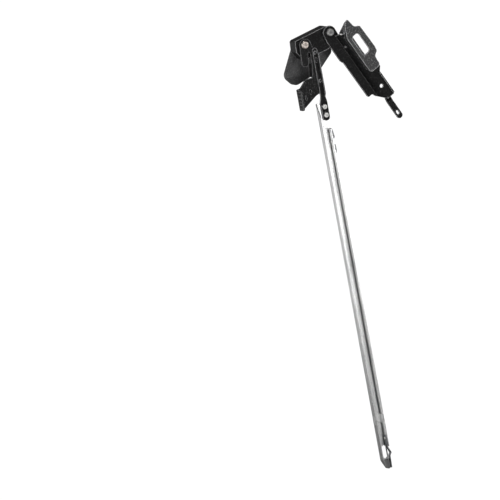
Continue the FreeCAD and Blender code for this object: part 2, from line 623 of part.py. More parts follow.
CATCH_RIVETS = ("-flange_start - 22.8", "-flange_end + 14")


def leaf_catch(name, corners):
    """A bent spring leaf on the rail's outer flange."""
    body = new_piece(name, "arm")
    plate(body, corners, "catch_back", "catch_width")
    return body


def leaf_rivet(name, y, inner, outer):
    """A small rivet through the rail's outer flange and a catch, from inner to outer face."""
    body = new_piece(name, "arm")
    for start, run, radius in ((f"{inner} - 0.7", "0.7", "catch_rivet_head"),
                               (inner, f"({outer}) - ({inner})", "catch_rivet_radius"),
                               (outer, "0.7", "catch_rivet_head")):
        sketch = new_sketch(body, "YZ_Plane", start)
        add_circle(sketch, y, "catch_back + catch_width / 2", radius)
        pad(body, sketch, run)


def upper_catch():
    """Double humped leaf outside the flange, just below the strap."""
    out = "rail_width - rail_left"
    crest = f"{out} + catch_rise"
    gauge = "catch_gauge"
    start = "-flange_start"
    corners = [(f"{out} + 0.2", f"{start} + 1"), (f"{out} + 2.4", f"{start} - 1", "1"),
               (crest, f"{start} - 15", "1.6"), (f"{out} + {gauge}", f"{start} - 19.5", "1"),
               (f"{out} + {gauge}", f"{start} - 26", "1"), (f"{crest} - 1", f"{start} - 29", "1.2"),
               (f"{crest} - 1", f"{start} - 38", "2"), (f"{out} + {gauge}", f"{start} - 47"),
               (out, f"{start} - 47"), (f"{crest} - 1 - {gauge}", f"{start} - 37.5", "1"),
               (f"{crest} - 1 - {gauge}", f"{start} - 29.8", "0.6"), (out, f"{start} - 27", "1"),
               (out, f"{start} - 18.6", "1"), (f"{crest} - {gauge} - 0.4", f"{start} - 14.4", "1"),
               (f"{out} + 1.2", f"{start} - 2", "0.5"), (f"{out} + 0.2", f"{start} - 1.4")]
    body = leaf_catch("upper_catch", corners)
    drill(body, [(CATCH_RIVETS[0], "catch_back + catch_width / 2", "catch_rivet_radius")], "YZ_Plane",
          out, depth="catch_gauge", backwards=True)
    leaf_rivet("upper_catch_rivet", CATCH_RIVETS[0], f"{out} - rail_gauge", f"{out} + catch_gauge")


def end_catch():
    """Leaf inside the flange with a flared lip below the flange's end."""
    face = "rail_width - rail_left - rail_gauge"
    gauge = "catch_gauge"
    end = "-flange_end"
    corners = [(f"{face} - {gauge}", f"{end} + 20"), (face, f"{end} + 20"), (face, f"{end} - 1", "1"),
               (f"{face} + 5", f"{end} - 12", "1.4"), (f"{face} + 1.6", f"{end} - 17", "1.4"),
               (f"{face} + 1", f"{end} - 38", "0.8"), (f"{face} - {gauge} + 1", f"{end} - 38"),
               (f"{face} - {gauge} + 1.6", f"{end} - 16.4", "1"),
               (f"{face} + 3.4 - {gauge} / 2", f"{end} - 12", "0.8"),
               (f"{face} - {gauge}", f"{end} - 1.6", "1")]
    body = leaf_catch("end_catch", corners)
    drill(body, [(CATCH_RIVETS[1], "catch_back + catch_width / 2", "catch_rivet_radius")], "YZ_Plane",
          f"{face} - catch_gauge", depth="catch_gauge", backwards=True)
    leaf_rivet("end_catch_rivet", CATCH_RIVETS[1], f"{face} - catch_gauge", f"{face} + rail_gauge")


def travel_stop():
    """Block pressed into the outer side of the channel, where the flange is notched."""
    body = new_piece("travel_stop", "arm")
    outer = "rail_width - rail_left"
    web_front = "ear_back + ear_gauge"
    left, face, foot = f"{outer} - stop_reach", f"{outer} - 0.2", f"{outer} - rail_bend - 0.1"
    top, bottom = "-notch_top - 1", "-notch_top - notch_length + 1"
    plate(body, [(left, top, "1"), (face, top, "1"), (face, bottom, "1"), (left, bottom, "1")],
          "notch_floor + 0.2", "rail_flange - 6")
    plate(body, [(left, top), (foot, top), (foot, bottom), (left, bottom)],
          web_front, f"notch_floor + 0.2 - ({web_front})")


def end_shoe():
    """Plastic glide shoe that plugs the foot of the channel."""
    body = new_piece("end_shoe", "arm")
    left = "-rail_left + rail_gauge + 0.8"
    right = "rail_width - rail_left - rail_gauge - 1.8"
    web_front = "ear_back + ear_gauge"
    plate(body, [(left, "-shoe_top", "1"), (right, "-shoe_top", "1"), (right, "-shoe_end", "2"),
                 (f"{left} + 5.5", "-shoe_end", "3"), (left, "-shoe_end + 11", "3")],
          web_front, "shoe_height")


arm_plate()
lift_strap()
flush_rivets()
strap_rail_rivets()
ring("inner_bush", "arm", "0", "bush_radius", "pivot_radius + running_clearance", "ear_back", "ear_gauge")
rail()
upper_catch()
travel_stop()
end_catch()
end_shoe()

# ---- checks and files ----------------------------------------------------------------------------------

doc.recompute()
for item in doc.Objects:
    if {"Invalid", "Error"} & set(item.State):
        raise RuntimeError(f"{item.Name} failed: {item.State} {item.getStatusString()}")
os.makedirs("parts", exist_ok=True)
for piece in pieces:
    if piece.Shape.isNull() or not piece.Shape.isValid():
        raise RuntimeError(f"{piece.Label} has no valid shape")
    piece.Shape.exportStep(f"parts/{piece.Label}.step")
    print(f"{piece.Label:24s} solids {len(piece.Shape.Solids)}  volume {piece.Shape.Volume:10.1f}")
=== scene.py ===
# %% [markdown]
# Friction pivot hinge with a stay rail.
#
# The hinge is three groups of pressed steel on two riveted pivots: a frame bracket with a finger pull, a
# short gooseneck link with a cover behind it, and a lift arm that carries a long zinc plated channel rail.
# The frame that is loaded here already has every piece at its size and place. This lesson gives each piece
# its finish, adds the small forms that a press or a riveting tool leaves, and sets up a pale studio.

# %% Load the frame
import json
import math

import bmesh
import bpy
from mathutils import Matrix, Vector


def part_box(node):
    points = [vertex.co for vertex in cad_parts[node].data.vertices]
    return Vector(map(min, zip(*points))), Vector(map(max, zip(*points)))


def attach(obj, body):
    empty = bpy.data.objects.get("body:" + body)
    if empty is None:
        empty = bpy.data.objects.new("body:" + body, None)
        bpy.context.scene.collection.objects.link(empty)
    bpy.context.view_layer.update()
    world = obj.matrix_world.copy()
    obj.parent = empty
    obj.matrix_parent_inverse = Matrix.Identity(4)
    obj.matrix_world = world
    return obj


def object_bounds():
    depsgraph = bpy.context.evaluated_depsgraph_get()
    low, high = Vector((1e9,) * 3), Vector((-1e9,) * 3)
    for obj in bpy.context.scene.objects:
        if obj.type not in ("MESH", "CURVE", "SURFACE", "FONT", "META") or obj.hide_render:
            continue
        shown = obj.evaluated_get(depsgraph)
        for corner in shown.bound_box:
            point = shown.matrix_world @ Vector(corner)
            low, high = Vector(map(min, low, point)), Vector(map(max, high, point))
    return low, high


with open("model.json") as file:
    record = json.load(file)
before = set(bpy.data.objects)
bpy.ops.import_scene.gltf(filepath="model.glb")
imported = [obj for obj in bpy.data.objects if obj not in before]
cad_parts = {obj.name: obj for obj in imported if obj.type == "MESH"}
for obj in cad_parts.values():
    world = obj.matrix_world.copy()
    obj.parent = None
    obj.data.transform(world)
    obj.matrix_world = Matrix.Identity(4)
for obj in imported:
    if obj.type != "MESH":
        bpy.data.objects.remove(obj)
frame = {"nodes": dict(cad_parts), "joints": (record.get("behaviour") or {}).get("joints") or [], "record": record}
CAD_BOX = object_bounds()
nodes = frame["nodes"]
joints = {joint["name"]: joint for joint in frame["joints"]}
MM = 0.001
print(f"{len(nodes)} nodes, box {[round(side / MM) for side in Vector(CAD_BOX[1]) - Vector(CAD_BOX[0])]} mm")

# %% [markdown]
# The pieces ride on three bodies, and both pivots turn about the depth of the hinge, the Y axis. The pivots'
# places come from the joints themselves, so nothing here has to be measured again. The bracket leans in the
# frame, and a small helper gives the turn that carries its own directions over.

# %% Bodies and pivots
BRACKET, LINK, ARM = "frame_bracket_body", "link_body", "arm_body"
OUTER_PIVOT = Vector(joints["outer_pivot"]["pos_m"])
INNER_PIVOT = Vector(joints["inner_pivot"]["pos_m"])
BRACKET_LEAN = math.radians(26)
WEB_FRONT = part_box("link_channel")[0][1]


def leaning(lean):
    """The turn that leans a group's across and up directions, as seen from the front."""
    return Matrix.Rotation(-lean, 3, "Y")


print(f"the pivots are {(OUTER_PIVOT - INNER_PIVOT).length / MM:.1f} mm apart")

# %% [markdown]
# A very long lens from far away keeps the rail's two flanges parallel and shows every group at one scale.
# The camera stands a little to the left and a little above, and is rolled so that the rail leans across the
# view. Its matrix is built from three directions, right, up and back, and the inner pivot is put at a
# chosen place.

# %% Camera
VIEW_AZIMUTH, VIEW_ELEVATION, VIEW_ROLL = math.radians(-25.0), math.radians(10.0), math.radians(10.4)
VIEW_WIDTH = 0.850
LENS, SENSOR = 850.0, 36.0
PIVOT_RIGHT, PIVOT_UP = 0.0933, 0.3487
EAR_DEPTH, FAR_LIMIT = 13 * MM, 80

back = Vector((math.sin(VIEW_AZIMUTH) * math.cos(VIEW_ELEVATION),
               -math.cos(VIEW_AZIMUTH) * math.cos(VIEW_ELEVATION), math.sin(VIEW_ELEVATION)))
level = Vector((math.cos(VIEW_AZIMUTH), math.sin(VIEW_AZIMUTH), 0))
upright = back.cross(level)
right = level * math.cos(VIEW_ROLL) - upright * math.sin(VIEW_ROLL)
up = upright * math.cos(VIEW_ROLL) + level * math.sin(VIEW_ROLL)
ear_face = Vector((INNER_PIVOT.x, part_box("arm_plate")[0][1] + EAR_DEPTH, INNER_PIVOT.z))
aim = ear_face - right * PIVOT_RIGHT - up * PIVOT_UP
distance = VIEW_WIDTH / 2 * LENS / (SENSOR / 2)

camera = bpy.data.objects.new("camera", bpy.data.cameras.new("camera"))
camera.data.lens, camera.data.sensor_width = LENS, SENSOR
camera.data.clip_end = FAR_LIMIT
turned = Matrix((right, up, back)).transposed().to_4x4()
camera.matrix_world = Matrix.Translation(aim + back * distance) @ turned
bpy.context.scene.collection.objects.link(camera)
bpy.context.scene.camera = camera
print(f"camera {distance:.2f} m from the hinge, ear face at y {ear_face.y / MM:.1f} mm")

# %% [markdown]
# The floor is one wide sheet of pale paper. Parts like this are often shown on paper that is lit until
# it is almost white, but so much white below would turn the satin black to grey. So the paper answers the
# two jobs apart: seen directly it is nearly white, and for every other ray it is a quiet grey.

# %% Floor
FLOOR_GAP, FLOOR_REACH, PAPER_GLOW = 0.25, 30.0, 1.05


def new_material(name):
    """An empty node material, with its tree and its Principled shader, ready to be wired."""
    material = bpy.data.materials.new(name)
    material.use_nodes = True
    return material, material.node_tree, material.node_tree.nodes["Principled BSDF"]


floor_z = CAD_BOX[0][2] - FLOOR_GAP
corners = [(x * FLOOR_REACH, y * FLOOR_REACH, floor_z) for x, y in ((-1, -1), (1, -1), (1, 1), (-1, 1))]
floor_mesh = bpy.data.meshes.new("floor")
floor_mesh.from_pydata(corners, [], [(0, 1, 2, 3)])
floor = bpy.data.objects.new("floor", floor_mesh)
bpy.context.scene.collection.objects.link(floor)

paper, tree, shader = new_material("studio_paper")
shader.inputs["Base Color"].default_value = (0.35, 0.35, 0.35, 1)
shader.inputs["Roughness"].default_value = 0.9
shader.inputs["Specular IOR Level"].default_value = 0.1
glow = tree.nodes.new("ShaderNodeEmission")
glow.inputs["Strength"].default_value = PAPER_GLOW
rays = tree.nodes.new("ShaderNodeLightPath")
mixed = tree.nodes.new("ShaderNodeMixShader")
tree.links.new(rays.outputs["Is Camera Ray"], mixed.inputs["Fac"])
tree.links.new(shader.outputs["BSDF"], mixed.inputs[1])
tree.links.new(glow.outputs["Emission"], mixed.inputs[2])
tree.links.new(mixed.outputs["Shader"], tree.nodes["Material Output"].inputs["Surface"])
floor_mesh.materials.append(paper)
print("floor at", round(floor_z, 3))

# %% [markdown]
# The world is the same white where the camera looks past the floor. For every other ray it is a dim room,
# lighter in front and behind than at the sides. So the faces that look forward or back read as metal, and
# the walls of a channel stay dark.

# %% World
world = bpy.data.worlds.new("studio")
world.use_nodes = True
bpy.context.scene.world = world
sky, wire = world.node_tree.nodes, world.node_tree.links.new
plain = sky["Background"]
plain.inputs["Strength"].default_value = PAPER_GLOW
plain.inputs["Color"].default_value = (1, 1, 1, 1)
room = sky.new("ShaderNodeBackground")
place = sky.new("ShaderNodeTexCoord")
split = sky.new("ShaderNodeSeparateXYZ")
depth = sky.new("ShaderNodeMapRange")
shades = sky.new("ShaderNodeValToRGB")
choose = sky.new("ShaderNodeMixShader")
rays = sky.new("ShaderNodeLightPath")
depth.inputs["From Min"].default_value = -1
wire(place.outputs["Generated"], split.inputs["Vector"])
wire(split.outputs["Y"], depth.inputs["Value"])
wire(depth.outputs["Result"], shades.inputs["Fac"])
ROOM_SHADES = ((0.0, 0.12), (0.25, 0.08), (0.55, 0.06), (0.85, 0.10), (1.0, 0.20))
while len(shades.color_ramp.elements) < len(ROOM_SHADES):
    shades.color_ramp.elements.new(0.5)
for element, (position, grey) in zip(shades.color_ramp.elements, ROOM_SHADES):
    element.position, element.color = position, (grey, grey, grey, 1)
wire(shades.outputs["Color"], room.inputs["Color"])
wire(rays.outputs["Is Camera Ray"], choose.inputs["Fac"])
wire(room.outputs["Background"], choose.inputs[1])
wire(plain.outputs["Background"], choose.inputs[2])
wire(choose.outputs["Shader"], sky["World Output"].inputs["Surface"])
bpy.context.scene.view_settings.view_transform = "Standard"
print("world ready,", len(ROOM_SHADES), "shades from front to back")

# %% [markdown]
# Plates that face the viewer mirror what stands low on the front right, so a soft box there brings out the
# zinc. It is short, so the rail is white near its top and greyer towards its foot. A channel's inner wall
# sees the same thing twice turned, so a second box stands to the front left. One does the same for the
# rail's back, and the rest are rim lights, which draw lines down the cover, the rail's outer wall and the
# black edges.

# %% Soft boxes
def soft_box(name, place_at, width, height, watts):
    """A rectangular area light that faces the linkage."""
    lamp = bpy.data.lights.new(name, "AREA")
    lamp.shape, lamp.size, lamp.size_y, lamp.energy = "RECTANGLE", width, height, watts
    light = bpy.data.objects.new(name, lamp)
    light.location = place_at
    light.rotation_euler = (INNER_PIVOT - Vector(place_at)).to_track_quat("-Z", "Y").to_euler()
    bpy.context.scene.collection.objects.link(light)
    return light


boxes = [soft_box("front_box", (0.84, -2.1, -0.47), 0.6, 0.62, 4.4),
         soft_box("left_front_box", (-1.07, -2.1, -0.50), 0.6, 1.0, 7.5),
         soft_box("left_box", (-2.2, -0.7, 0.3), 0.35, 1.9, 12),
         soft_box("left_back_box", (-1.3, 2.0, -0.3), 0.9, 2.2, 6),
         soft_box("rail_back_box", (0.97, 2.1, -0.75), 0.7, 1.5, 4.5),
         soft_box("right_back_box", (1.8, 1.5, 1.2), 0.8, 0.8, 6),
         soft_box("top_box", (-0.2, -1.2, 2.2), 0.6, 0.6, 9)]
print(len(boxes), "soft boxes")

# %% [markdown]
# Seven effects come back in several finishes, so each is a shader node group that is built once: edges that
# are lightened as wear and as a painted highlight, the orange peel of a powder coat, its flecks, painted
# shade with some grime in hollows, drawn lines, cloudy tarnish and dust. A small builder makes the group's
# sockets and hands back its tree. Patterns are measured in the piece's own space, so they move with the piece.

# %% Builder for shader groups
def shader_group(name, inputs, outputs):
    """A node group with named float inputs (name, default) and float outputs; gives the tree and its ends."""
    group = bpy.data.node_groups.new(name, "ShaderNodeTree")
    for label, value in inputs:
        socket = group.interface.new_socket(label, in_out="INPUT", socket_type="NodeSocketFloat")
        socket.default_value = value
    for label in outputs:
        group.interface.new_socket(label, in_out="OUTPUT", socket_type="NodeSocketFloat")
    return group, group.nodes.new("NodeGroupInput"), group.nodes.new("NodeGroupOutput")


def math_node(tree, operation, first, second, clamp=False):
    """One Math node; each side is a socket or a plain number. Gives its output socket."""
    node = tree.nodes.new("ShaderNodeMath")
    node.operation, node.use_clamp = operation, clamp
    for index, side in enumerate((first, second)):
        if isinstance(side, (int, float)):
            node.inputs[index].default_value = side
        else:
            tree.links.new(side, node.inputs[index])
    return node.outputs[0]


def noise(tree, scale, detail=3.0, stretch=(1, 1, 1), roughness=0.55):
    """Noise in the piece's own space, squeezed along each axis by stretch. Gives its value socket."""
    where = tree.nodes.new("ShaderNodeTexCoord")
    mapping = tree.nodes.new("ShaderNodeMapping")
    mapping.inputs["Scale"].default_value = stretch
    texture = tree.nodes.new("ShaderNodeTexNoise")
    texture.inputs["Detail"].default_value = detail
    texture.inputs["Roughness"].default_value = roughness
    tree.links.new(where.outputs["Object"], mapping.inputs["Vector"])
    tree.links.new(mapping.outputs["Vector"], texture.inputs["Vector"])
    if isinstance(scale, (int, float)):
        texture.inputs["Scale"].default_value = scale
    else:
        tree.links.new(scale, texture.inputs["Scale"])
    return texture.outputs["Fac"]


# %% [markdown]
# Paint and plating wear first where a fold or a cut edge rubs, and the lightened edges also stand as a
# painted highlight, the thin line of light that an edge catches. A Bevel node gives the normal of an edge
# that is rounded by a radius; where it turns away from the real normal there is an edge. Inside corners
# turn it as well, so ambient occlusion takes them out, and noise breaks the line up, because wear is never even.

# %% Group: edge wear and painted highlight
edge_wear_and_highlight, ends_in, ends_out = shader_group(
    "edge_wear_and_highlight", [("Radius", 0.6 * MM), ("Amount", 4.0), ("Patchiness", 400.0)], ["Mask"])
BEVEL_SAMPLES, SHADE_SAMPLES, OPEN_WITHIN = 6, 8, 3 * MM
rounded = edge_wear_and_highlight.nodes.new("ShaderNodeBevel")
rounded.samples = BEVEL_SAMPLES
edge_wear_and_highlight.links.new(ends_in.outputs["Radius"], rounded.inputs["Radius"])
real = edge_wear_and_highlight.nodes.new("ShaderNodeNewGeometry")
facing = edge_wear_and_highlight.nodes.new("ShaderNodeVectorMath")
facing.operation = "DOT_PRODUCT"
edge_wear_and_highlight.links.new(rounded.outputs["Normal"], facing.inputs[0])
edge_wear_and_highlight.links.new(real.outputs["Normal"], facing.inputs[1])
turned_away = math_node(edge_wear_and_highlight, "SUBTRACT", 1.0, facing.outputs["Value"])
strong = math_node(edge_wear_and_highlight, "MULTIPLY", turned_away, ends_in.outputs["Amount"])
broken = math_node(edge_wear_and_highlight, "MULTIPLY", strong, noise(edge_wear_and_highlight, ends_in.outputs["Patchiness"]))
open_air = edge_wear_and_highlight.nodes.new("ShaderNodeAmbientOcclusion")
open_air.only_local = True
open_air.samples = SHADE_SAMPLES
open_air.inputs["Distance"].default_value = OPEN_WITHIN
exposed = math_node(edge_wear_and_highlight, "MULTIPLY", open_air.outputs["AO"], open_air.outputs["AO"])
outside = math_node(edge_wear_and_highlight, "MULTIPLY", broken, exposed)
edge_wear_and_highlight.links.new(math_node(edge_wear_and_highlight, "MULTIPLY", outside, 1.8, clamp=True), ends_out.inputs["Mask"])
print("group", edge_wear_and_highlight.name)

# %% [markdown]
# Powder coat is sprayed dry and melted, which leaves a fine skin like orange peel with a finer grit on it.
# Two noises of different size make the height, and a slow one makes the tone wander.

# %% Group: powder coat
powder_coat, ends_in, ends_out = shader_group(
    "powder_coat", [("Peel size", 900.0), ("Grit size", 3800.0)], ["Height", "Tone"])
peel = noise(powder_coat, ends_in.outputs["Peel size"], detail=2.0)
grit = noise(powder_coat, ends_in.outputs["Grit size"], detail=1.0)
coarse = math_node(powder_coat, "MULTIPLY", peel, 0.65)
fine = math_node(powder_coat, "MULTIPLY", grit, 0.35)
powder_coat.links.new(math_node(powder_coat, "ADD", coarse, fine), ends_out.inputs["Height"])
powder_coat.links.new(noise(powder_coat, 45.0, detail=4.0), ends_out.inputs["Tone"])
print("group", powder_coat.name)

# %% [markdown]
# A rolled and drawn strip carries hair lines along its length. The noise is squeezed across the strip and
# stretched along it; the rail stands upright in the frame, so the stretch is along Z. A second, wider set of
# lines gives the broad streaks that zinc plating shows on a long strip.

# %% Group: drawn lines
drawn_lines, ends_in, ends_out = shader_group("drawn_lines", [("Contrast", 1.0)], ["Hair", "Streak"])
hair = noise(drawn_lines, 1.0, detail=2.0, stretch=(2600, 2600, 14))
streak = noise(drawn_lines, 1.0, detail=3.0, stretch=(230, 230, 3))
for label, lines in (("Hair", hair), ("Streak", streak)):
    centred = math_node(drawn_lines, "SUBTRACT", lines, 0.5)
    scaled = math_node(drawn_lines, "MULTIPLY", centred, ends_in.outputs["Contrast"])
    drawn_lines.links.new(math_node(drawn_lines, "ADD", scaled, 0.5, clamp=True), ends_out.inputs[label])
print("group", drawn_lines.name)

# %% [markdown]
# Slots, the foot of a fold and the metal round a head are darkened: painted shade where light falls short,
# with some grease and dirt. Ambient occlusion finds those places. It is limited to the piece itself, so it
# stays the same as the hinge moves.

# %% Group: painted shade and grime
shade_and_grime, ends_in, ends_out = shader_group("shade_and_grime", [("Reach", 5 * MM), ("Sharpness", 2.0)], ["Mask"])
nearby = shade_and_grime.nodes.new("ShaderNodeAmbientOcclusion")
nearby.only_local = True
nearby.samples = SHADE_SAMPLES
shade_and_grime.links.new(ends_in.outputs["Reach"], nearby.inputs["Distance"])
hidden = math_node(shade_and_grime, "SUBTRACT", 1.0, nearby.outputs["AO"])
shade_and_grime.links.new(math_node(shade_and_grime, "MULTIPLY", hidden, ends_in.outputs["Sharpness"], clamp=True),
                ends_out.inputs["Mask"])
print("group", shade_and_grime.name)

# %% [markdown]
# Up close the coat is flecked: tiny high spots are rubbed and shine lighter than the rest. A sharp threshold
# on fine noise gives the flecks, and a slow noise gathers them in patches, as handling does.

# %% Group: speckle
speckle, ends_in, ends_out = shader_group("speckle", [("Fleck size", 620.0), ("Density", 0.5)], ["Mask"])
flecks = noise(speckle, ends_in.outputs["Fleck size"], detail=2.0, roughness=0.7)
patches = noise(speckle, 60.0, detail=3.0)
level = math_node(speckle, "SUBTRACT", 1.0, ends_in.outputs["Density"])
over = math_node(speckle, "SUBTRACT", flecks, level)
sharp = math_node(speckle, "MULTIPLY", over, 7.0, clamp=True)
speckle.links.new(math_node(speckle, "MULTIPLY", sharp, patches, clamp=True), ends_out.inputs["Mask"])
print("group", speckle.name)

# %% [markdown]
# Bare and plated metal is never one colour: it is cloudy where it was handled, and it darkens in patches.
# The group gives a soft cloud and, from the same space, a set of small dull spots with a hard edge.

# %% Group: tarnish
tarnish, ends_in, ends_out = shader_group(
    "tarnish", [("Cloud size", 30.0), ("Spot size", 260.0)], ["Cloud", "Spots"])
tarnish.links.new(noise(tarnish, ends_in.outputs["Cloud size"], detail=5.0), ends_out.inputs["Cloud"])
spotty = noise(tarnish, ends_in.outputs["Spot size"], detail=4.0, roughness=0.7)
above = math_node(tarnish, "SUBTRACT", spotty, 0.60)
tarnish.links.new(math_node(tarnish, "MULTIPLY", above, 9.0, clamp=True), ends_out.inputs["Spots"])
print("group", tarnish.name)

# %% [markdown]
# Fine dust settles on what faces up. Up is read from the surface's normal in the world, so when an arm
# swings, the dust is on the faces that are then on top, as it would be on a hinge left in that place. Noise
# thins it.

# %% Group: dust
dust, ends_in, ends_out = shader_group("dust", [("Cover", 0.5), ("Grain", 1500.0)], ["Mask"])
surface = dust.nodes.new("ShaderNodeNewGeometry")
heading = dust.nodes.new("ShaderNodeSeparateXYZ")
dust.links.new(surface.outputs["Normal"], heading.inputs["Vector"])
facing_up = math_node(dust, "MULTIPLY", heading.outputs["Z"], ends_in.outputs["Cover"], clamp=True)
dust.links.new(math_node(dust, "MULTIPLY", facing_up, noise(dust, ends_in.outputs["Grain"]), clamp=True),
               ends_out.inputs["Mask"])
print("group", dust.name)

# %% [markdown]
# Every finish is now wired in the same few steps: place a group, mix two colours by a mask, turn a value
# into a roughness, and press a height into the normal. These helpers keep each material short enough to
# read.

# %% Helpers for wiring a finish
def use(tree, group, **values):
    """Place a group in a material with its own values; underscores stand for spaces in socket names."""
    node = tree.nodes.new("ShaderNodeGroup")
    node.node_tree = group
    for label, value in values.items():
        node.inputs[label.replace("_", " ")].default_value = value
    return node.outputs


def blend_colour(tree, mask, dark, light):
    """Mix two colours, or a colour socket and a colour, by a mask. Gives the result socket."""
    node = tree.nodes.new("ShaderNodeMix")
    node.data_type = "RGBA"
    tree.links.new(mask, node.inputs["Factor"])
    for label, colour in (("A", dark), ("B", light)):
        socket = [item for item in node.inputs if item.name == label and item.type == "RGBA"][0]
        if isinstance(colour, (tuple, list)):
            socket.default_value = (*colour, 1)
        else:
            tree.links.new(colour, socket)
    return [item for item in node.outputs if item.type == "RGBA"][0]


def span(tree, value, low, high):
    """Map a 0 to 1 value onto low to high."""
    node = tree.nodes.new("ShaderNodeMapRange")
    tree.links.new(value, node.inputs["Value"])
    node.inputs["To Min"].default_value = low
    node.inputs["To Max"].default_value = high
    return node.outputs["Result"]


def press(tree, shader, height, depth, strength=1.0):
    """Press a height pattern into the surface; depth is in metres."""
    node = tree.nodes.new("ShaderNodeBump")
    node.inputs["Strength"].default_value = strength
    node.inputs["Distance"].default_value = depth
    tree.links.new(height, node.inputs["Height"])
    tree.links.new(node.outputs["Normal"], shader.inputs["Normal"])


# %% [markdown]
# The pressed steel of bracket, link and arm is painted satin black after it is formed. The paint is thin on
# cut edges and folds, so grey steel shows through there, and the same lightened edges stand as a painted
# highlight along each edge. The front flange that a finger pulls has the same finish with a lower roughness,
# a lighter tone, lighter flecks and much stronger edge lightening: partly polish from use, partly a painted
# highlight for the light that the flange catches. The arm's plate is hardly touched, so its coat is duller
# and its edges keep more of their paint.

# %% Finish: black steel
def black_steel_finish(name, tone_low, tone_high, rough_low, rough_high, wear_and_highlight_amount, sheen):
    """Satin black coat over steel: speckled tone, wandering gloss, edges lightened to grey as wear and painted
    highlight, hollows darkened as painted shade with some grime.
    """
    material, tree, shader = new_material(name)
    coat = use(tree, powder_coat)
    edges = use(tree, edge_wear_and_highlight, Amount=wear_and_highlight_amount, Radius=1.5 * MM, Patchiness=260.0)
    film = use(tree, dust, Cover=0.05)
    flecks = use(tree, speckle, Fleck_size=380.0, Density=0.48)
    paint = blend_colour(tree, coat["Tone"], (tone_low,) * 3, (tone_high, tone_high, tone_high * 1.04))
    flecked = blend_colour(tree, flecks["Mask"], paint, (tone_high * 7,) * 3)
    dusty = blend_colour(tree, film["Mask"], flecked, (0.12, 0.12, 0.118))
    # Edges are mixed to light grey: rubbed paint, and a painted highlight along each edge.
    rubbed_and_highlit = blend_colour(tree, edges["Mask"], dusty, (0.8, 0.8, 0.81))
    # Slots, fold roots and corners are darkened nearly to black: painted shade, with some grime.
    shade_and_dirt = use(tree, shade_and_grime, Reach=3 * MM, Sharpness=1.6)
    shaded_and_soiled = blend_colour(tree, shade_and_dirt["Mask"], rubbed_and_highlit, (0.002, 0.002, 0.002))
    tree.links.new(shaded_and_soiled, shader.inputs["Base Color"])
    tree.links.new(span(tree, edges["Mask"], 0.0, 0.6), shader.inputs["Metallic"])
    shader.inputs["Specular IOR Level"].default_value = sheen
    tree.links.new(span(tree, coat["Tone"], rough_low, rough_high), shader.inputs["Roughness"])
    press(tree, shader, coat["Height"], 0.07 * MM)
    return material


FINISHES = {
    "black_steel": black_steel_finish("satin_black_steel", 0.003, 0.010, 0.36, 0.52, 10.0, 0.22),
    "black_rivet": black_steel_finish("black_rivet_paint", 0.003, 0.01, 0.3, 0.45, 6.0, 0.3),
}
# The pull's lighter tone and strong edge lightening are partly polish and partly a painted highlight.
highlit_pull_finish = black_steel_finish("polished_and_highlit_black_steel", 0.016, 0.07, 0.28, 0.42, 24.0, 0.5)
arm_finish = black_steel_finish("dull_black_steel", 0.006, 0.020, 0.42, 0.58, 3.0, 0.3)
print("black finishes made")

# %% [markdown]
# The cover behind the link is a thin drawn shell with a smoother, greyer coat. It has no folds to speak of,
# so its interest is in a soft cloudy sheen and a faint rub along its rolled rim.

# %% Finish: cover shell
material, tree, shader = new_material("grey_cover_coat")
coat = use(tree, powder_coat, Peel_size=700.0)
cloud = use(tree, tarnish, Cloud_size=22.0)
edges = use(tree, edge_wear_and_highlight, Amount=2.0, Radius=0.8 * MM)
flecks = use(tree, speckle, Fleck_size=420.0, Density=0.52)
soft_shell = blend_colour(tree, cloud["Cloud"], (0.045, 0.045, 0.046), (0.115, 0.115, 0.117))
shell = blend_colour(tree, span(tree, flecks["Mask"], 0.0, 0.6), soft_shell, (0.34, 0.34, 0.34))
tree.links.new(blend_colour(tree, edges["Mask"], shell, (0.4, 0.4, 0.4)), shader.inputs["Base Color"])
tree.links.new(span(tree, cloud["Cloud"], 0.34, 0.5), shader.inputs["Roughness"])
press(tree, shader, coat["Height"], 0.03 * MM)
FINISHES["cover_shell"] = material
print("cover finish made")

# %% [markdown]
# The rail is rolled strip with a bright zinc plating. Its hair lines run along the length, broader streaks
# make some stretches greyer, and handling leaves dull spots. The lines drive colour, roughness and a very
# shallow bump together, because a real scratch changes all three.

# %% Finish: zinc plating
material, tree, shader = new_material("zinc_plated_strip")
lines = use(tree, drawn_lines, Contrast=2.8)
cloud = use(tree, tarnish, Cloud_size=16.0, Spot_size=420.0)
edges = use(tree, edge_wear_and_highlight, Amount=2.0, Radius=0.5 * MM)
zinc = blend_colour(tree, lines["Streak"], (0.24, 0.245, 0.255), (0.93, 0.935, 0.94))
clouded = blend_colour(tree, cloud["Cloud"], zinc, (0.80, 0.80, 0.79))
spotted = blend_colour(tree, span(tree, cloud["Spots"], 0.0, 0.5), clouded, (0.42, 0.42, 0.43))
rubbed_and_highlit = blend_colour(tree, edges["Mask"], spotted, (0.93, 0.93, 0.94))
# The rail's inside corners and slots are darkened: painted shade of the channel's corners, with some grime.
shade_and_dirt = use(tree, shade_and_grime, Reach=3.5 * MM, Sharpness=2.6)
tree.links.new(blend_colour(tree, shade_and_dirt["Mask"], rubbed_and_highlit, (0.03, 0.03, 0.032)), shader.inputs["Base Color"])
shader.inputs["Metallic"].default_value = 1.0
tree.links.new(span(tree, lines["Hair"], 0.2, 0.4), shader.inputs["Roughness"])
press(tree, shader, lines["Hair"], 0.012 * MM)
FINISHES["zinc_rail"] = material
print("rail finish made")

# %% [markdown]
# Rivets, washers and screws are bright plated, and so are the catches' springs in a darker tone. One
# function makes them all from a dark and a bright colour, with clouds and dull spots between. The inner
# pivot's rivet is a shade warmer, the outer one is duller, and the bushes are bronze.

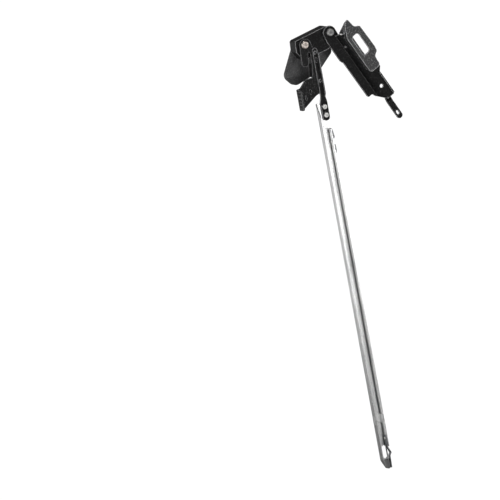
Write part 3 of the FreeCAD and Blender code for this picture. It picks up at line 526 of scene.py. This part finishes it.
# %% Finish: plated rivets
def plated_finish(name, dark, bright, roughness):
    """Bright plating with cloudy tone, dull spots and rubbed edges."""
    material, tree, shader = new_material(name)
    cloud = use(tree, tarnish, Cloud_size=160.0, Spot_size=900.0)
    edges = use(tree, edge_wear_and_highlight, Amount=2.5, Radius=0.4 * MM)
    metal = blend_colour(tree, cloud["Cloud"], dark, bright)
    dull = tuple(tone * 0.45 for tone in dark)
    spotted = blend_colour(tree, span(tree, cloud["Spots"], 0.0, 0.6), metal, dull)
    rubbed_and_highlit = blend_colour(tree, edges["Mask"], spotted, (0.95, 0.94, 0.92))
    tree.links.new(rubbed_and_highlit, shader.inputs["Base Color"])
    shader.inputs["Metallic"].default_value = 1.0
    tree.links.new(span(tree, cloud["Cloud"], roughness - 0.1, roughness + 0.12), shader.inputs["Roughness"])
    press(tree, shader, cloud["Cloud"], 0.04 * MM, 0.6)
    return material


METALS = (("plated_rivet", "bright_plated_steel", (0.68, 0.67, 0.65), (0.9, 0.89, 0.87), 0.3),
          ("warm_rivet", "warm_plated_steel", (0.72, 0.62, 0.55), (0.92, 0.84, 0.77), 0.3),
          ("spring_steel", "tempered_spring_steel", (0.10, 0.105, 0.115), (0.30, 0.305, 0.32), 0.34),
          ("bronze_bush", "oiled_bronze", (0.38, 0.25, 0.11), (0.62, 0.44, 0.21), 0.38))
for slot, *look in METALS:
    FINISHES[slot] = plated_finish(*look)
outer_rivet_finish = plated_finish("dulled_plated_steel", (0.30, 0.30, 0.30), (0.56, 0.56, 0.55), 0.34)
print("metal finishes made")

# %% [markdown]
# Two plastics are left: the friction washers, a filled nylon that is matt and slightly mottled, and the end
# shoe, a dark moulding that is scraped to grey along its length by use. Both are a coat pattern on a
# non-metal shader, and the scrapes are the drawn lines again with a high contrast.

# %% Finish: plastics
material, tree, shader = new_material("filled_nylon")
coat = use(tree, powder_coat, Peel_size=1600.0, Grit_size=5200.0)
edges = use(tree, edge_wear_and_highlight, Amount=1.5)
nylon = blend_colour(tree, coat["Tone"], (0.24, 0.22, 0.19), (0.36, 0.33, 0.29))
tree.links.new(blend_colour(tree, edges["Mask"], nylon, (0.792, 0.726, 0.638)), shader.inputs["Base Color"])
tree.links.new(span(tree, coat["Height"], 0.52, 0.7), shader.inputs["Roughness"])
press(tree, shader, coat["Height"], 0.05 * MM)
FINISHES["friction_pad"] = material

material, tree, shader = new_material("scuffed_shoe_moulding")
coat = use(tree, powder_coat, Peel_size=1400.0)
scrapes = use(tree, drawn_lines, Contrast=3.5)
edges = use(tree, edge_wear_and_highlight, Amount=5.0, Radius=1 * MM)
moulding = blend_colour(tree, scrapes["Streak"], (0.02, 0.02, 0.021), (0.42, 0.42, 0.42))
tree.links.new(blend_colour(tree, edges["Mask"], moulding, (0.6, 0.6, 0.6)), shader.inputs["Base Color"])
tree.links.new(span(tree, coat["Height"], 0.38, 0.6), shader.inputs["Roughness"])
press(tree, shader, scrapes["Hair"], 0.04 * MM)
FINISHES["dark_plastic"] = material
print("plastic finishes made")

# %% [markdown]
# Sheet metal has no knife edges: blanking and tumbling leave a small radius that catches a thin line of
# light. A Bevel modifier adds it without touching the mesh itself. It works on edges sharper than a limit,
# so the facets of round parts are left alone.

# %% Give each node its finish and soft edges
SLOT_OF = {part["node"]: part["material_slot"] for part in frame["record"]["subparts"]}
OWN_FINISH = {"finger_pull": highlit_pull_finish, "arm_plate": arm_finish, "outer_pivot_rivet": outer_rivet_finish}
EDGE_RADIUS_MM = {"rail": 0.25, "link_cover": 0.3, "lift_strap": 0.3, "end_shoe": 0.3, "arm_plate": 0.35,
                  "frame_bracket": 0.35, "link_channel": 0.35, "finger_pull": 0.45}
EDGE_LIMIT = math.radians(32)


def soften(piece, radius):
    """Round the piece's sharp edges by a small radius with a modifier."""
    bevel = piece.modifiers.new("soft_edges", "BEVEL")
    bevel.width, bevel.segments = radius, 2
    bevel.limit_method, bevel.angle_limit = "ANGLE", EDGE_LIMIT
    bevel.harden_normals = True
    bevel.use_clamp_overlap = True


for name, node in nodes.items():
    finish = OWN_FINISH.get(name, FINISHES[SLOT_OF[name]])
    node.data.materials.clear()
    node.data.materials.append(finish)
    for face in node.data.polygons:
        face.material_index = 0
    if name in EDGE_RADIUS_MM:
        soften(node, EDGE_RADIUS_MM[name] * MM)
print(f"{len(nodes)} nodes finished, {len(EDGE_RADIUS_MM)} with soft edges")

# %% [markdown]
# A riveting tool spins the soft end of each rivet down and leaves its mark: a raised ring round a small
# dimple. A plain turned head would look like a coin. The mark could be a bump texture, but its ring casts a
# real highlight, so it is a thin turned piece that sits on the head: a profile of radius and height, spun
# about the rivet's axis.

# %% Helper: a piece spun about its axis
SPIN_STEPS, MERGE_WITHIN = 40, 0.01 * MM


def finished_piece(name, mesh, body, finish):
    """Link a new mesh object, ride it on a body and give it a finish."""
    piece = bpy.data.objects.new(name, mesh)
    bpy.context.scene.collection.objects.link(piece)
    mesh.materials.append(finish)
    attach(piece, body)
    return piece


def spun_piece(name, centre, profile, body, finish, outward=Vector((0, -1, 0))):
    """A round piece whose axis runs outward through centre; profile holds (radius, height) in millimetres."""
    work = bmesh.new()
    side = outward.orthogonal().normalized()
    line = [work.verts.new(centre + side * radius * MM + outward * height * MM) for radius, height in profile]
    edges = [work.edges.new(pair) for pair in zip(line, line[1:])]
    bmesh.ops.spin(work, geom=line + edges, cent=centre, axis=outward, angle=math.tau, steps=SPIN_STEPS,
                   use_merge=True, use_duplicate=False)
    bmesh.ops.remove_doubles(work, verts=work.verts, dist=MERGE_WITHIN)
    bmesh.ops.recalc_face_normals(work, faces=work.faces)
    for face in work.faces:
        face.smooth = True
    mesh = bpy.data.meshes.new(name)
    work.to_mesh(mesh)
    work.free()
    return finished_piece(name, mesh, body, finish)


# %% [markdown]
# Both pivot rivets carry a large mark and the two strap rivets a small one. The heads' front faces come from
# the boxes of the rivets themselves. So do the strap rivets' centres; the pivots' come from the joints.

# %% Marks of the riveting tool
PIVOT_MARK = ((0, -0.2), (0, 0.08), (1.0, 0.1), (1.5, 0.34), (2.1, 0.5), (2.8, 0.46), (3.3, 0.22),
              (4.0, 0.18), (4.5, 0.3), (4.9, 0.22), (5.1, -0.2), (0, -0.2))
STRAP_MARK = ((0, -0.2), (0, 0.05), (0.6, 0.06), (0.95, 0.28), (1.5, 0.34), (2.1, 0.26), (2.6, 0.05),
              (2.7, -0.2), (0, -0.2))
marks = []
for side, pivot, finish, slot in (("outer", OUTER_PIVOT, outer_rivet_finish, "plated_rivet"),
                                  ("inner", INNER_PIVOT, FINISHES["warm_rivet"], "warm_rivet")):
    face = Vector((pivot.x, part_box(f"{side}_pivot_rivet")[0][1], pivot.z))
    marks.append(spun_piece(f"{side}_rivet_mark", face, PIVOT_MARK, LINK, finish))

low, high = (Vector(corner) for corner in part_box("strap_rail_rivets"))
head_radius = (high.x - low.x) / 2
for level, z in (("upper", high.z - head_radius), ("lower", low.z + head_radius)):
    face = Vector(((low.x + high.x) / 2, low.y, z))
    marks.append(spun_piece(f"strap_rivet_mark_{level}", face, STRAP_MARK, ARM,
                            FINISHES["plated_rivet"]))
print([mark.name for mark in marks])

# %% [markdown]
# A small bright pin is pressed through the bracket's folded wall, half way between the strip and the base
# plate. The wall leans, so the pin's head is turned about its own axis and laid along the group's across
# direction, which leans with the bracket.

# %% Pin in the bracket's wall
WALL_PIN = ((0, -0.6), (0, 0.75), (0.8, 0.7), (1.4, 0.45), (1.75, 0.05), (1.8, -0.6), (0, -0.6))
PIN_ACROSS, PIN_UP, PIN_LIFT = 5.4, -37.0, 8.0


def bracket_point(across, up, lift):
    """A point of the frame, from millimetres across, up and forward in the bracket's own leaning frame."""
    flat = leaning(BRACKET_LEAN) @ Vector((across * MM, 0, up * MM))
    return Vector((OUTER_PIVOT.x + flat.x, WEB_FRONT - lift * MM, OUTER_PIVOT.z + flat.z))


pin_centre = bracket_point(PIN_ACROSS, PIN_UP, PIN_LIFT)
wall_pin = spun_piece("wall_pin", pin_centre, WALL_PIN, BRACKET, FINISHES["plated_rivet"],
                      outward=leaning(BRACKET_LEAN) @ Vector((-1, 0, 0)))
print(wall_pin.name, [round(value / MM, 1) for value in pin_centre])

# %% [markdown]
# The tab at the end of the wing is pressed with short cross ribs, perhaps so that it grips. They are half
# round bars: each is a list of rings along the rib, and a loop repeats them down the tab.

# %% Ribs on the wing's tab
RIB_COUNT, RIB_RADIUS, RIB_SIDES = 6, 0.9 * MM, 8
TAB_TOP, TAB_FOOT = INNER_PIVOT.z - 76 * MM, INNER_PIVOT.z - 104.5 * MM
RIB_NEAR, RIB_FAR, RIB_PROUD = 3 * MM, 12.5 * MM, 0.1 * RIB_RADIUS


def rounded_bar(work, start, end, radius):
    """Add a bar with domed ends between two points to a bmesh."""
    run = (end - start).normalized()
    side = run.orthogonal().normalized()
    other = run.cross(side)
    stations = ((0, 0.3), (0.25, 0.75), (0.8, 1.0))
    spots = [(start + run * radius * along, radius * wide) for along, wide in stations]
    spots += [(end - run * radius * along, radius * wide) for along, wide in reversed(stations)]
    rings = []
    for centre, wide in spots:
        turns = [math.tau * step / RIB_SIDES for step in range(RIB_SIDES)]
        rings.append([work.verts.new(centre + (side * math.cos(turn) + other * math.sin(turn)) * wide)
                      for turn in turns])
    for ring, after in zip(rings, rings[1:]):
        for step in range(RIB_SIDES):
            work.faces.new((ring[step - 1], ring[step], after[step], after[step - 1]))
    work.faces.new(rings[0])
    work.faces.new(rings[-1])


tab_low = Vector(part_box("arm_plate")[0])
work = bmesh.new()
for index in range(RIB_COUNT):
    z = TAB_TOP + (TAB_FOOT - TAB_TOP) * index / (RIB_COUNT - 1)
    x = tab_low.x - RIB_PROUD
    rounded_bar(work, Vector((x, tab_low.y + RIB_NEAR, z)), Vector((x, tab_low.y + RIB_FAR, z)), RIB_RADIUS)
bmesh.ops.recalc_face_normals(work, faces=work.faces)
for face in work.faces:
    face.smooth = True
mesh = bpy.data.meshes.new("wing_tab_ribs")
work.to_mesh(mesh)
work.free()
ribs = finished_piece("wing_tab_ribs", mesh, ARM, FINISHES["black_steel"])
print(ribs.name, len(mesh.vertices), "points")
